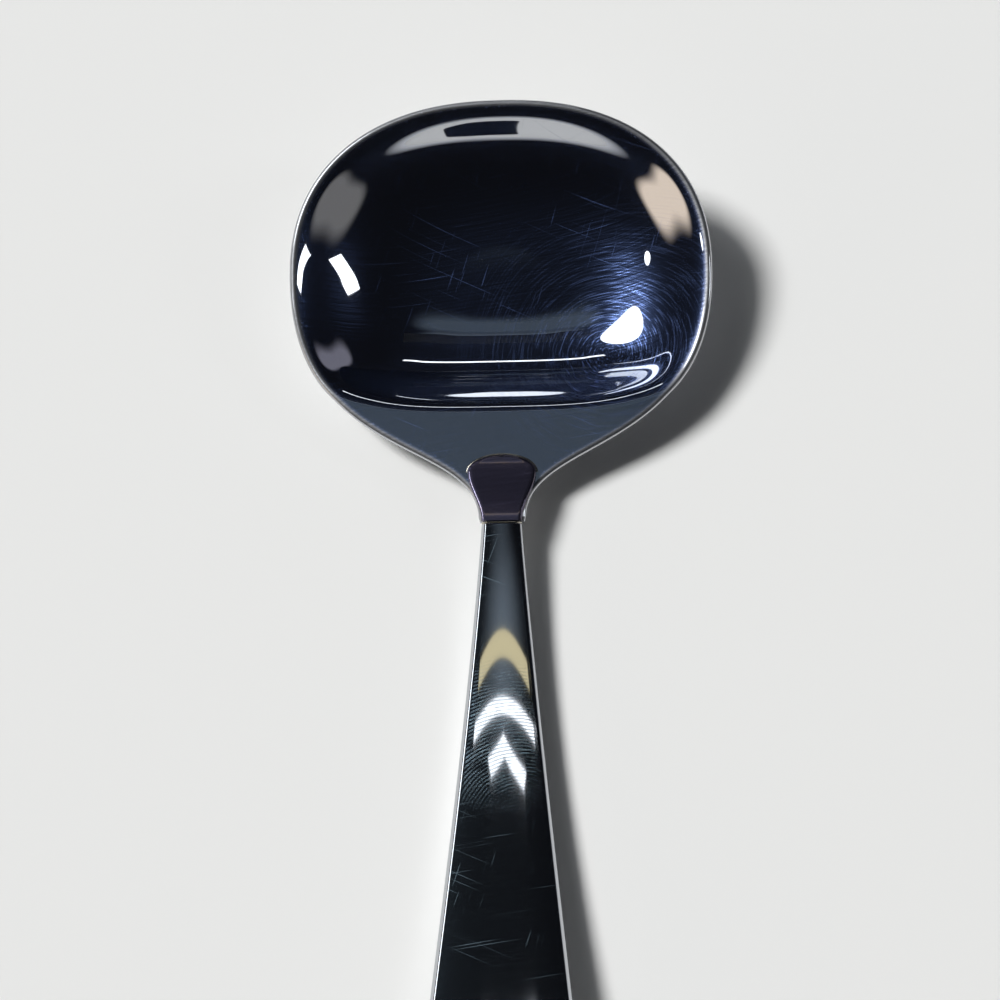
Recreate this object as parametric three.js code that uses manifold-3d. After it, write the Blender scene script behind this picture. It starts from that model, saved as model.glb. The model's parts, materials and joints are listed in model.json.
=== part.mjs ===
// Gravy ladle with a pressed bowl, a brazed shank and a hollow handle. Millimetres, +Z up.
// The ladle lies on a table: the bowl and the end of the handle touch it, and the handle points to -Y.
// It is drawn in the bowl's own frame first: X across, Y to the tip, Z out of the bowl, rim at Z = 0.
import * as THREE from 'three';
import Module from 'manifold-3d';
import { mergeVertices } from 'three/addons/utils/BufferGeometryUtils.js';

// Bowl, seen from above
const BOWL_HALF_WIDTH = 31.6;
const TIP_REACH = 26.1; // centre to the far rim
const HEEL_REACH = 19.9; // centre to the ridge on the handle side
const NECK_REACH = 39; // centre to the mouth of the handle
const NECK_HALF_WIDTH = 3;
const RIM_POWER = 2.3; // squareness of the far rim, 2 is an ellipse
const HEEL_POWER = 3.4; // squareness of the ridge
const HEEL_FADE = 0.7; // sine of the angle past which the ridge's shape has taken over from the rim's
const SHOULDER_PULL = 28.8; // how far the outline runs straight below the widest point
const NECK_PULL = 13.3; // how far it runs straight above the mouth

// Bowl, in depth
const BOWL_DEPTH = 9.5;
const SHEET = 1.3;
const LIP = 0.7; // the rim turns outwards over this width
const FLOOR_SHARE = 0.2; // flat part of the floor, as a share of the way to the wall
const DISH_SHARE = 0.1; // depth of the gentle dish in the floor, as a share of the bowl's depth
const WALL_POWER = 3.2; // how late and how steeply the wall turns up
const LIP_ROUND = 0.4; // share of the wall's height that the lip and the ridge round off
const APRON_START = 4; // centre to where the apron begins to rise
const NECK_RISE = 2.4; // the apron's height above the rim at the mouth
const EDGE_BULGE = 0.6; // how far the rounded edge stands out

// Shank
const TONGUE_LENGTH = 10.9;
const TONGUE_HALF_WIDTH = 5.15;
const TONGUE_TIP_ROUND = 2.6;
const NECK_LENGTH = 0.5; // even stretch of the shank before the mouth
const TONGUE_EDGE = 0.7; // thickness at the tip
const SHANK_THICKNESS = 2.2;
const SHANK_CHAMFER = 0.3;
const TANG_LENGTH = 38;
const TANG_CLEARANCE = 0.45; // between the tang and the handle's walls at the mouth
const TANG_TIP_SHARE = 0.6; // the tang's size at its tip
const SHOULDER_STEP = 0.1; // length over which the neck steps down to the tang

// Braze
const BEAD_RADIUS = 0.3;
const COLLAR_LENGTH = 0.4;
const COLLAR_PROUD = 0.06;

// Handle
const HANDLE_RUN = 94; // mouth to the end, along the bowl's rim
const HANDLE_RISE = 29.5; // mouth to the end, away from the rim
const HANDLE_END_SLOPE = 16; // degrees to the rim
const MOUTH_PULL = 45; // reach of the side profile's tangent at the mouth
const END_PULL = 25; // and at the end
const HANDLE_HALF_WIDTH = 12;
const FLARE_POWER = 1.12; // 1 flares evenly, more flares later
const HANDLE_END_ROUND = 9;
const MOUTH_THICKNESS = 3.8;
const END_THICKNESS = 4.2;
const HANDLE_SWELL = 1.5; // extra thickness half way along
const HANDLE_WALL = 0.7;
const CROWN_SHARE = 0.05; // height of the front's crown, as a share of the half width
const FRONT_BEVEL = 0.6;
const BACK_BEVEL = 0.9;
const FILLER_START = 24;

// Between touching pieces
const JOINT_GAP = 0.25;

// Rounded ends stop this short of a point
const END_TRIM = 0.05;

// A chamfer takes at most this share of a narrow section
const CHAMFER_LIMIT = 1 / 3;

// Cutting shapes run out this far past the face that they open
const CUT_PAST = 1;

// A slope is measured over this distance to either side
const SLOPE_PROBE = 0.01;

// The resting tilt lies below this, in degrees, and is found by halving
const STEEPEST_REST = 60;
const HALVINGS = 40;

// Steps
const RIM_STEPS = 14;
const SIDE_STEPS = 36;
const ACROSS_STEPS = 24;
const TONGUE_STEPS = 14;
const TANG_STEPS = 10;
const BEAD_STEPS = 28;
const BEAD_SIDES = 6;
const HANDLE_STEPS = 24;
const ROUND_STEPS = 8;
const CROWN_STEPS = 6;

const wasm = await Module();
wasm.setup();

const lerp = THREE.MathUtils.lerp;
const smoothstep = THREE.MathUtils.smoothstep;

// Side profile: the apron's front face rises as a parabola, and the handle follows as one S-curve
const apron = new THREE.QuadraticBezierCurve3(
  new THREE.Vector3(0, -APRON_START, 0),
  new THREE.Vector3(0, -(APRON_START + NECK_REACH) / 2, 0),
  new THREE.Vector3(0, -NECK_REACH, NECK_RISE),
);
const apronLength = apron.getLength();

// A place on the side profile with its direction to the handle's end and its normal to the front
function place(curve, share) {
  const tangent = curve.getTangentAt(share);
  return { point: curve.getPointAt(share), tangent, normal: new THREE.Vector3(0, tangent.z, -tangent.y) };
}

function onApron(beforeMouth) {
  return place(apron, 1 - beforeMouth / apronLength);
}

// Point of a section: across the ladle and out of its front
function sectionPoint(at, across, out) {
  return at.point.clone().add(new THREE.Vector3(across, 0, 0)).addScaledVector(at.normal, out);
}

// The handle's middle surface starts half its thickness below the shank's front
const neck = onApron(0);
const mouthSlot = COLLAR_LENGTH + 2 * JOINT_GAP;
const shankFront = JOINT_GAP + SHANK_THICKNESS;
const seamHeight = shankFront - MOUTH_THICKNESS / 2;
const mouth = neck.point.clone().addScaledVector(neck.normal, seamHeight);
const handleEnd = mouth.clone().add(new THREE.Vector3(0, -HANDLE_RUN, HANDLE_RISE));
const endSlope = THREE.MathUtils.degToRad(HANDLE_END_SLOPE);
const endDirection = new THREE.Vector3(0, -Math.cos(endSlope), Math.sin(endSlope));
const handle = new THREE.CubicBezierCurve3(
  mouth,
  mouth.clone().addScaledVector(neck.tangent, MOUTH_PULL),
  handleEnd.clone().addScaledVector(endDirection, -END_PULL),
  handleEnd,
);
const handleLength = handle.getLength();

function onHandle(afterMouth) {
  return place(handle, afterMouth / handleLength);
}

function solid(positions, index) {
  const geometry = new THREE.BufferGeometry();
  geometry.setAttribute('position', new THREE.Float32BufferAttribute(positions, 3));
  geometry.setIndex(index);
  return geometry;
}

// Closed solid through sections that have equally many points, taken anticlockwise along the way
function loft(sections) {
  const count = sections[0].length;
  const last = (sections.length - 1) * count;
  const index = [];
  for (let row = 0; row < last; row += count) {
    for (let i = 0; i < count; i++) {
      const a = row + i;
      const b = row + (i + 1) % count;
      index.push(a, b, b + count, a, b + count, a + count);
    }
  }
  for (let i = 1; i + 1 < count; i++) {
    index.push(0, i + 1, i, last, last + i, last + i + 1);
  }
  return solid(sections.flat().flatMap((point) => point.toArray()), index);
}

function toManifold(geometry) {
  const merged = mergeVertices(geometry);
  return new wasm.Manifold(new wasm.Mesh({
    numProp: 3,
    vertProperties: merged.attributes.position.array,
    triVerts: Uint32Array.from(merged.index.array),
  }));
}

function subtract(body, cutter) {
  const mesh = toManifold(body).subtract(toManifold(cutter)).getMesh();
  return solid(mesh.vertProperties, Array.from(mesh.triVerts));
}

// Bowl
const slopeOfApron = (2 * NECK_RISE) / (NECK_REACH - APRON_START);

function apronHeight(y) {
  const beyond = Math.max(0, -y - APRON_START);
  return (slopeOfApron / 2) * beyond * beyond / (NECK_REACH - APRON_START);
}

// Distance from the centre to a rounded outline that is squarer and nearer on the handle side
function outlineRadius(angle, halfWidth, tipReach, heelReach) {
  const heel = smoothstep(-Math.sin(angle), 0, HEEL_FADE);
  const power = lerp(RIM_POWER, HEEL_POWER, heel);
  const reach = lerp(tipReach, heelReach, heel);
  const across = Math.abs(Math.cos(angle)) / halfWidth;
  const along = Math.abs(Math.sin(angle)) / reach;
  return (across ** power + along ** power) ** (-1 / power);
}

// Share of the wall's height still to climb, rounded off where the wall turns into the lip or the apron
function roundedShare(share) {
  const step = THREE.MathUtils.clamp((share + LIP_ROUND) / (2 * LIP_ROUND), 0, 1);
  return Math.max(share, LIP_ROUND) - LIP_ROUND + 2 * LIP_ROUND * (step ** 3 - step ** 4 / 2);
}

function bowlHeight(x, y) {
  const wall = outlineRadius(Math.atan2(y, x), BOWL_HALF_WIDTH - LIP, TIP_REACH - LIP, HEEL_REACH);
  const way = Math.max(0, Math.hypot(x, y) / wall - FLOOR_SHARE) / (1 - FLOOR_SHARE);
  const land = apronHeight(y);
  const climbed = lerp(way ** WALL_POWER, way ** 2, DISH_SHARE);
  return land - (BOWL_DEPTH + land) * roundedShare(1 - climbed);
}

function bowlNormal(x, y) {
  const span = 2 * SLOPE_PROBE;
  const slopeX = (bowlHeight(x + SLOPE_PROBE, y) - bowlHeight(x - SLOPE_PROBE, y)) / span;
  const slopeY = (bowlHeight(x, y + SLOPE_PROBE) - bowlHeight(x, y - SLOPE_PROBE)) / span;
  return new THREE.Vector3(-slopeX, -slopeY, 1).normalize();
}

// Right half of the outline, from the mouth round the rim to the tip
const tailReach = -onApron(mouthSlot + JOINT_GAP + EDGE_BULGE).point.y;
const outline = new THREE.CubicBezierCurve(
  new THREE.Vector2(NECK_HALF_WIDTH, -tailReach),
  new THREE.Vector2(NECK_HALF_WIDTH, -tailReach + NECK_PULL),
  new THREE.Vector2(BOWL_HALF_WIDTH, -SHOULDER_PULL),
  new THREE.Vector2(BOWL_HALF_WIDTH, 0),
).getSpacedPoints(SIDE_STEPS);
for (let i = 1; i < RIM_STEPS; i++) {
  const angle = Math.PI / 2 * i / RIM_STEPS;
  const radius = outlineRadius(angle, BOWL_HALF_WIDTH, TIP_REACH, HEEL_REACH);
  outline.push(new THREE.Vector2(radius * Math.cos(angle), radius * Math.sin(angle)));
}

// One section across the bowl: its front from right to left, the rounded edge, its back, the other edge
function bowlSection({ x: halfWidth, y }) {
  const front = [];
  const back = [];
  for (let i = 0; i <= ACROSS_STEPS; i++) {
    const x = halfWidth * Math.cos(Math.PI * i / ACROSS_STEPS);
    const point = new THREE.Vector3(x, y, bowlHeight(x, y));
    front.push(point);
    back.unshift(point.clone().addScaledVector(bowlNormal(x, y), -SHEET));
  }
  const outwards = new THREE.Vector3(EDGE_BULGE, 0, 0);
  const right = front[0].clone().lerp(back[ACROSS_STEPS], 0.5).add(outwards);
  const left = front[ACROSS_STEPS].clone().lerp(back[0], 0.5).sub(outwards);
  return [...front, left, ...back, right];
}

// Shank: the tongue lies on the apron, thickens to the neck, and goes on as the tang inside the handle
function tongueHalfWidth(beforeMouth) {
  const fromTip = TONGUE_LENGTH - beforeMouth;
  const round = Math.sqrt(1 - (1 - Math.min(1, fromTip / TONGUE_TIP_ROUND)) ** 2);
  const waist = smoothstep(fromTip, TONGUE_TIP_ROUND, TONGUE_LENGTH - NECK_LENGTH);
  return round * lerp(TONGUE_HALF_WIDTH, NECK_HALF_WIDTH, waist);
}

function chamferedSection(at, halfWidth, back, front, chamfer) {
  const cut = Math.min(chamfer, (front - back) * CHAMFER_LIMIT, halfWidth * CHAMFER_LIMIT);
  return [
    [halfWidth, back], [halfWidth, front - cut], [halfWidth - cut, front],
    [cut - halfWidth, front], [-halfWidth, front - cut], [-halfWidth, back],
  ].map(([across, out]) => sectionPoint(at, across, out));
}

function tangSection(at, share, grow) {
  const size = lerp(1, TANG_TIP_SHARE, share);
  const halfWidth = (NECK_HALF_WIDTH - HANDLE_WALL - TANG_CLEARANCE) * size + grow;
  const halfThickness = (MOUTH_THICKNESS / 2 - HANDLE_WALL - TANG_CLEARANCE) * size + grow;
  return chamferedSection(at, halfWidth, -halfThickness, halfThickness, SHANK_CHAMFER);
}

function shankGeometry() {
  const sections = [];
  for (let i = 0; i <= TONGUE_STEPS; i++) {
    const share = 1 - Math.cos(Math.PI / 2 * i / TONGUE_STEPS);
    const beforeMouth = lerp(TONGUE_LENGTH - END_TRIM, mouthSlot, share);
    const thickness = lerp(TONGUE_EDGE, SHANK_THICKNESS, smoothstep(share, 0, 1));
    const halfWidth = tongueHalfWidth(beforeMouth);
    sections.push(chamferedSection(
      onApron(beforeMouth), halfWidth, JOINT_GAP, JOINT_GAP + thickness, SHANK_CHAMFER,
    ));
  }
  const shoulder = onApron(mouthSlot - SHOULDER_STEP);
  shoulder.point.addScaledVector(shoulder.normal, seamHeight);
  sections.push(tangSection(shoulder, 0, 0));
  for (let i = 0; i <= TANG_STEPS; i++) {
    const share = i / TANG_STEPS;
    sections.push(tangSection(onHandle(TANG_LENGTH * share), share, 0));
  }
  return loft(sections);
}

// Braze bead round the tongue's rounded tip, lying on the apron
function beadGeometry() {
  const middle = JOINT_GAP + BEAD_RADIUS;
  const sections = [];
  for (let i = 0; i <= BEAD_STEPS; i++) {
    const turn = Math.PI * (i / BEAD_STEPS - 1 / 2);
    const edge = new THREE.Vector2(
      TONGUE_HALF_WIDTH * Math.sin(turn),
      TONGUE_LENGTH - TONGUE_TIP_ROUND * (1 - Math.cos(turn)),
    );
    const outwards = new THREE.Vector2(
      TONGUE_TIP_ROUND * Math.sin(turn),
      TONGUE_HALF_WIDTH * Math.cos(turn),
    ).normalize();
    const foot = edge.addScaledVector(outwards, middle);
    const section = [];
    for (let k = 0; k < BEAD_SIDES; k++) {
      const angle = 2 * Math.PI * k / BEAD_SIDES;
      const spot = foot.clone().addScaledVector(outwards, BEAD_RADIUS * Math.cos(angle));
      section.push(sectionPoint(onApron(spot.y), spot.x, middle + BEAD_RADIUS * Math.sin(angle)));
    }
    sections.push(section);
  }
  return loft(sections);
}

// Handle
function handleHalfWidth(afterMouth) {
  const roundStart = handleLength - HANDLE_END_ROUND;
  const round = Math.max(0, (afterMouth - roundStart) / HANDLE_END_ROUND);
  const share = Math.min(1, afterMouth / roundStart);
  const flare = lerp(NECK_HALF_WIDTH, HANDLE_HALF_WIDTH, share ** FLARE_POWER);
  return flare * Math.sqrt(1 - round * round);
}

function handleHalfThickness(afterMouth) {
  const share = afterMouth / handleLength;
  return (lerp(MOUTH_THICKNESS, END_THICKNESS, share) + HANDLE_SWELL * Math.sin(Math.PI * share)) / 2;
}

// Half of the handle's section, from one side of the seam over the front (or the back) to the other
function halfSection(at, afterMouth, facing, inset, seam) {
  const halfWidth = handleHalfWidth(afterMouth) - inset;
  const height = handleHalfThickness(afterMouth) - inset;
  const crown = facing > 0 ? CROWN_SHARE * halfWidth : 0;
  const bevel = Math.min(facing > 0 ? FRONT_BEVEL : BACK_BEVEL, halfWidth * CHAMFER_LIMIT);
  const flat = halfWidth - bevel;
  const section = [[halfWidth, seam], [halfWidth, height - crown - bevel]];
  for (let i = 0; i <= CROWN_STEPS; i++) {
    const across = 1 - (2 * i) / CROWN_STEPS;
    section.push([flat * across, height - crown * across * across]);
  }
  section.push([-halfWidth, height - crown - bevel], [-halfWidth, seam]);
  const points = section.map(([across, out]) => sectionPoint(at, across, facing * out));
  return facing > 0 ? points : points.reverse();
}

// Stations from one place on the handle to its rounded end, closer together in the rounding
function handleStations(from, to) {
  const roundStart = handleLength - HANDLE_END_ROUND;
  const stations = [];
  for (let i = 0; i < HANDLE_STEPS; i++) {
    stations.push(lerp(from, roundStart, i / HANDLE_STEPS));
  }
  for (let i = 0; i <= ROUND_STEPS; i++) {
    const turn = Math.sin(Math.PI / 2 * i / ROUND_STEPS);
    stations.push(lerp(roundStart, to, turn));
  }
  return stations;
}

const outerStations = handleStations(0, handleLength - END_TRIM);
const cavityEnd = handleLength - HANDLE_WALL - END_TRIM;

function shellGeometry(facing) {
  const shell = loft(outerStations.map((s) => halfSection(onHandle(s), s, facing, 0, JOINT_GAP / 2)));
  const stations = handleStations(0, cavityEnd);
  const sections = stations.map((s) => halfSection(onHandle(s), s, facing, HANDLE_WALL, -JOINT_GAP));
  const before = neck.tangent.clone().multiplyScalar(-CUT_PAST);
  sections.unshift(sections[0].map((point) => point.clone().add(before)));
  return subtract(shell, loft(sections));
}

// Braze collar: closes the slot between the shank's shoulder and the mouth
function collarGeometry() {
  const ring = (grow, facing) => halfSection(
    { point: mouth, normal: neck.normal }, 0, facing, -grow, 0,
  );
  const loop = [...ring(COLLAR_PROUD, 1).slice(0, -1), ...ring(COLLAR_PROUD, -1).slice(0, -1)];
  const shifted = (section, by) => section.map((point) => point.clone().addScaledVector(neck.tangent, by));
  const near = -JOINT_GAP - COLLAR_LENGTH;
  const body = loft([shifted(loop, near), shifted(loop, -JOINT_GAP)]);
  const hole = tangSection({ point: mouth, normal: neck.normal }, 0, JOINT_GAP);
  return subtract(body, loft([shifted(hole, near - CUT_PAST), shifted(hole, CUT_PAST)]));
}

// Cement core of the handle, with a pocket for the tang
function fillerGeometry() {
  const inset = HANDLE_WALL + JOINT_GAP;
  const stations = handleStations(FILLER_START, cavityEnd - JOINT_GAP);
  const body = loft(stations.map((s) => {
    const at = onHandle(s);
    const front = halfSection(at, s, 1, inset, 0);
    const back = halfSection(at, s, -1, inset, 0);
    return [...front.slice(0, -1), ...back.slice(0, -1)];
  }));
  const pocket = [];
  for (let i = 0; i <= TANG_STEPS; i++) {
    const share = i / TANG_STEPS;
    pocket.push(tangSection(onHandle((TANG_LENGTH + JOINT_GAP) * share), share, JOINT_GAP));
  }
  return subtract(body, loft(pocket));
}

// Materials
const polishedSteel = { color: '#c3c7cd', metalness: 1, roughness: 0.06 };
const brazeAlloy = { color: '#d9d3c2', metalness: 1, roughness: 0.15 };
const cement = { color: '#8c8578', metalness: 0, roughness: 0.9 };

function piece(name, geometry, look) {
  const mesh = new THREE.Mesh(geometry, new THREE.MeshStandardMaterial(look));
  mesh.name = name;
  return mesh;
}

const drawn = new THREE.Group();
drawn.add(
  piece('bowl', loft(outline.map(bowlSection).reverse()), polishedSteel),
  piece('shank', shankGeometry(), polishedSteel),
  piece('tongue_braze', beadGeometry(), brazeAlloy),
  piece('mouth_braze', collarGeometry(), brazeAlloy),
  piece('handle_front_shell', shellGeometry(1), polishedSteel),
  piece('handle_back_shell', shellGeometry(-1), polishedSteel),
  piece('handle_filler', fillerGeometry(), cement),
);

// The ladle tips back until the end of the handle meets the table, then it is centred on the origin
function lowest(name) {
  return new THREE.Box3().setFromObject(drawn.getObjectByName(name), true).min.z;
}

let level = 0;
let tipped = THREE.MathUtils.degToRad(STEEPEST_REST);
for (let i = 0; i < HALVINGS; i++) {
  drawn.rotation.x = (level + tipped) / 2;
  drawn.updateMatrixWorld(true);
  if (lowest('handle_back_shell') > lowest('bowl')) {
    level = drawn.rotation.x;
  } else {
    tipped = drawn.rotation.x;
  }
}
const box = new THREE.Box3().setFromObject(drawn, true);
const middle = box.getCenter(new THREE.Vector3());
drawn.position.set(-middle.x, -middle.y, -box.min.z);

const ladle = new THREE.Group();
ladle.name = 'gravy_ladle';
ladle.add(drawn);

export default ladle;
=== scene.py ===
# %% [markdown]
# # A gravy ladle in mirror-polished steel
# The ladle lies on a pale table, bowl and handle's end down. Its solids come in as the frame, and every
# piece that shows is drawn again here from the same sizes with a much finer mesh, because a mirror finish
# shows each facet. The seams close to hairlines, as brazing and polishing leave them.

# %% Load the frame
import json
import math

import bpy
import numpy as np
from mathutils import Matrix, Vector


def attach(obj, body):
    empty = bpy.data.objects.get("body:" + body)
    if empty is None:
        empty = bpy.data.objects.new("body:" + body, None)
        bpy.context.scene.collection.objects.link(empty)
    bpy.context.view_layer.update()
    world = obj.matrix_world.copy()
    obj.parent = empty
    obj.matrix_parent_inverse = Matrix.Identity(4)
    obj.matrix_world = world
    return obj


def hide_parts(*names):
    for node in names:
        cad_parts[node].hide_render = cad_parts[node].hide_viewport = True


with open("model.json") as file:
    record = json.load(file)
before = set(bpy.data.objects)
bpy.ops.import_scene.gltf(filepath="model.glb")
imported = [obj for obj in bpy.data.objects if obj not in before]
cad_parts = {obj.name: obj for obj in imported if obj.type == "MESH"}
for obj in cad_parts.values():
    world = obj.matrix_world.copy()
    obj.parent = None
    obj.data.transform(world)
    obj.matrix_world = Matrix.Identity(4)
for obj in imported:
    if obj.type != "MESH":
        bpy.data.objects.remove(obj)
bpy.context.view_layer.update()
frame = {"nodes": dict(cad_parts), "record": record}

# %% [markdown]
# ## Two small helpers
# Every object joins the scene in the same way. The camera and the key light are both aimed by a turn from
# +Y and an angle above the table, so one function gives both directions.

# %% Add objects and aim them
def add_object(name, data):
    made = bpy.data.objects.new(name, data)
    bpy.context.scene.collection.objects.link(made)
    return made


def direction(turn, rise):
    level = math.cos(rise)
    return Vector((math.sin(turn) * level, math.cos(turn) * level, math.sin(rise)))


print("straight up is", direction(0.0, math.pi / 2).to_tuple(2))

# %% [markdown]
# ## The camera
# The photograph looks almost straight into the bowl, with the handle coming towards the lens. Its angle and
# focal length were found by fitting the ladle's outline to the photograph, at an assumed distance. The
# camera is set from those numbers and never from the object.

# %% Place the camera
MM = 0.001
FRAME_PIXELS = 1000
FOCAL_PIXELS = 1940.639
SENSOR_WIDTH = 36.0
VIEW_AZIMUTH = math.radians(-9.220)
VIEW_ELEVATION = math.radians(70.185)
VIEW_ROLL = math.radians(-9.717)
VIEW_DISTANCE = 300.0 * MM
VIEW_TARGET = Vector((-0.723, 23.694, -2.169)) * MM
NEAREST, FURTHEST = 0.01, 100.0

forward = direction(VIEW_AZIMUTH, -VIEW_ELEVATION)
level_right = Vector((math.cos(VIEW_AZIMUTH), -math.sin(VIEW_AZIMUTH), 0.0))
level_up = level_right.cross(forward)
right = level_right * math.cos(VIEW_ROLL) + level_up * math.sin(VIEW_ROLL)
up = level_up * math.cos(VIEW_ROLL) - level_right * math.sin(VIEW_ROLL)

camera_data = bpy.data.cameras.new("camera")
camera_data.sensor_width = SENSOR_WIDTH
camera_data.lens = FOCAL_PIXELS / FRAME_PIXELS * SENSOR_WIDTH
camera_data.clip_start = NEAREST
camera_data.clip_end = FURTHEST
camera = add_object("camera", camera_data)
camera.matrix_world = (
    Matrix.Translation(VIEW_TARGET - forward * VIEW_DISTANCE)
    @ Matrix((right, up, -forward)).transposed().to_4x4()
)
bpy.context.scene.camera = camera
print("camera: lens", round(camera_data.lens, 2), "mm, eye", [round(v, 4) for v in camera.location])

# %% [markdown]
# ## The sizes
# These are the sizes of the part's source, in millimetres: the bowl seen from above, its depth, the tongue,
# and the handle. The fits are tighter here: a hairline where the solids keep a working gap.

# %% Repeat the ladle's sizes
BOWL_HALF_WIDTH, TIP_REACH, HEEL_REACH, NECK_REACH = 31.6, 26.1, 19.9, 39.0
NECK_HALF_WIDTH, RIM_POWER, HEEL_POWER, HEEL_FADE = 3.0, 2.3, 3.4, 0.7
SHOULDER_PULL, NECK_PULL = 28.8, 13.3
BOWL_DEPTH, SHEET, LIP, FLOOR_SHARE = 9.5, 1.3, 0.7, 0.2
DISH_SHARE, WALL_POWER, LIP_ROUND, EDGE_BULGE = 0.1, 3.2, 0.4, 0.6
APRON_START, NECK_RISE = 4.0, 2.4
TONGUE_LENGTH, TONGUE_HALF_WIDTH, TONGUE_TIP_ROUND, NECK_LENGTH = 10.9, 5.15, 2.6, 0.5
TONGUE_EDGE, SHANK_THICKNESS, TANG_LENGTH, TANG_TIP_SHARE = 0.7, 2.2, 38.0, 0.6
JOINT_GAP, TANG_CLEARANCE = 0.25, 0.45
HANDLE_RUN, HANDLE_RISE, HANDLE_END_SLOPE = 94.0, 29.5, math.radians(16.0)
MOUTH_PULL, END_PULL = 45.0, 25.0
HANDLE_HALF_WIDTH, FLARE_POWER, HANDLE_END_ROUND = 12.0, 1.12, 9.0
MOUTH_THICKNESS, END_THICKNESS, HANDLE_SWELL, HANDLE_WALL = 3.8, 4.2, 1.5, 0.7
CROWN_SHARE, FRONT_BEVEL, BACK_BEVEL = 0.05, 0.6, 0.9
HAIRLINE = 0.02
print("bowl", 2 * BOWL_HALF_WIDTH, "mm wide,", BOWL_DEPTH, "mm deep; handle up to",
      2 * HANDLE_HALF_WIDTH, "mm wide")

# %% [markdown]
# ## Where the bowl lies
# Everything is drawn in the bowl's own frame, with the rim level and the tip along +Y. The record's mount
# gives the bowl's base and its normal on the table, which is all that is needed to lay the drawing down.

# %% Lay the drawing down
base = frame["record"]["mounts"][0]
rest_tilt = math.atan2(base["axis"][1], -base["axis"][2])
lay_down = np.array(Matrix.Rotation(rest_tilt, 3, "X"))
base_drawn = np.array([0.0, 0.0, -(BOWL_DEPTH + SHEET)])
shift = np.array(base["pos_m"]) - lay_down @ base_drawn * MM


def on_table(points):
    """Drawn points in millimetres, as points in metres on the table."""
    return np.asarray(points, float).reshape(-1, 3) @ lay_down.T * MM + shift


print("rest: tilt", round(math.degrees(rest_tilt), 2), "degrees, bowl centre", shift.round(4).tolist())

# %% [markdown]
# ## One way to make a mesh
# Each piece is a set of rows of points, and each row is a loop. Quads join neighbouring rows, and the ends
# are closed. The normals are smooth, apart from edges that turn sharply.

# %% Make meshes from rows
SHARP_TURN = math.radians(40.0)


def row_faces(rows, columns):
    """Quads between neighbouring rows, where each row is a closed loop of points."""
    first = np.arange((rows - 1) * columns).reshape(rows - 1, columns)
    nexts = np.roll(first, -1, axis=1)
    return np.stack([first, first + columns, nexts + columns, nexts], -1).reshape(-1, 4)


def make_piece(name, points, faces):
    mesh = bpy.data.meshes.new(name)
    mesh.from_pydata(on_table(points).tolist(), [], [list(map(int, face)) for face in faces])
    mesh.polygons.foreach_set("use_smooth", [True] * len(mesh.polygons))
    mesh.set_sharp_from_angle(angle=SHARP_TURN)
    mesh.validate()
    print(name, len(mesh.vertices), "points,", len(mesh.polygons), "faces")
    return add_object(name, mesh)


print("three rows of four points close with", len(row_faces(3, 4)), "quads")

# %% [markdown]
# ## The side profile
# Seen from the side, the apron rises from the bowl as a parabola and the handle goes on as one S-curve.
# Both are tabulated by length, so that a place on them is a distance from the handle's mouth.

# %% Tabulate the apron and the handle
TABLE_STEPS = 4000


def bezier(points, t):
    points = [np.asarray(p, float) for p in points]
    while len(points) > 1:
        points = [a + (b - a) * t[:, None] for a, b in zip(points, points[1:])]
    return points[0]


class Profile:
    """A curve in the middle plane, (y, z), with places by length."""

    def __init__(self, controls):
        t = np.linspace(0.0, 1.0, TABLE_STEPS)
        self.path = bezier(controls, t)
        gaps = np.linalg.norm(np.diff(self.path, axis=0), axis=1)
        self.reach = np.concatenate([[0.0], np.cumsum(gaps)])
        self.length = self.reach[-1]
        self.heading = np.gradient(self.path, self.reach, axis=0, edge_order=2)

    def at(self, along, across, out):
        """Points at a length, moved across and out of the front; past its ends the curve runs straight."""
        along, across, out = np.broadcast_arrays(*(np.asarray(v, float) for v in (along, across, out)))
        spot = np.clip(along, 0.0, self.length)
        place = np.stack([np.interp(spot, self.reach, self.path[:, k]) for k in range(2)], -1)
        heading = np.stack([np.interp(spot, self.reach, self.heading[:, k]) for k in range(2)], -1)
        heading /= np.linalg.norm(heading, axis=-1, keepdims=True)
        place = place + heading * (along - spot)[..., None]
        normal = np.stack([heading[..., 1], -heading[..., 0]], -1)
        place = place + normal * out[..., None]
        return np.stack([across, place[..., 0], place[..., 1]], -1)


apron = Profile([(-APRON_START, 0.0), (-(APRON_START + NECK_REACH) / 2, 0.0), (-NECK_REACH, NECK_RISE)])
neck_heading = apron.heading[-1] / np.linalg.norm(apron.heading[-1])
neck_normal = np.array([neck_heading[1], -neck_heading[0]])
seam_height = JOINT_GAP + SHANK_THICKNESS - MOUTH_THICKNESS / 2
mouth = np.array([-NECK_REACH, NECK_RISE]) + seam_height * neck_normal
handle_end = mouth + np.array([-HANDLE_RUN, HANDLE_RISE])
end_heading = np.array([-math.cos(HANDLE_END_SLOPE), math.sin(HANDLE_END_SLOPE)])
handle = Profile([
    mouth, mouth + MOUTH_PULL * neck_heading, handle_end - END_PULL * end_heading, handle_end,
])


def on_apron(before_mouth, across, out):
    return apron.at(apron.length - before_mouth, across, out)


print("profile: apron", round(apron.length, 2), "mm, handle", round(handle.length, 2), "mm")

# %% [markdown]
# ## The bowl
# The bowl is pressed from sheet: a wide, shallow oval dish that turns up to the rim, a narrow lip, a ridge
# on the handle's side and an apron that rises to the neck. It could be sculpted, but a mirror shows each
# dent, so its height is one smooth rule over the plan.

# %% Describe the bowl's height
SLOPE_PROBE = 0.01


def mix(a, b, share):
    return a + (b - a) * share


def smooth(value, low, high):
    share = np.clip((value - low) / (high - low), 0.0, 1.0)
    return share * share * (3 - 2 * share)


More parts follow.
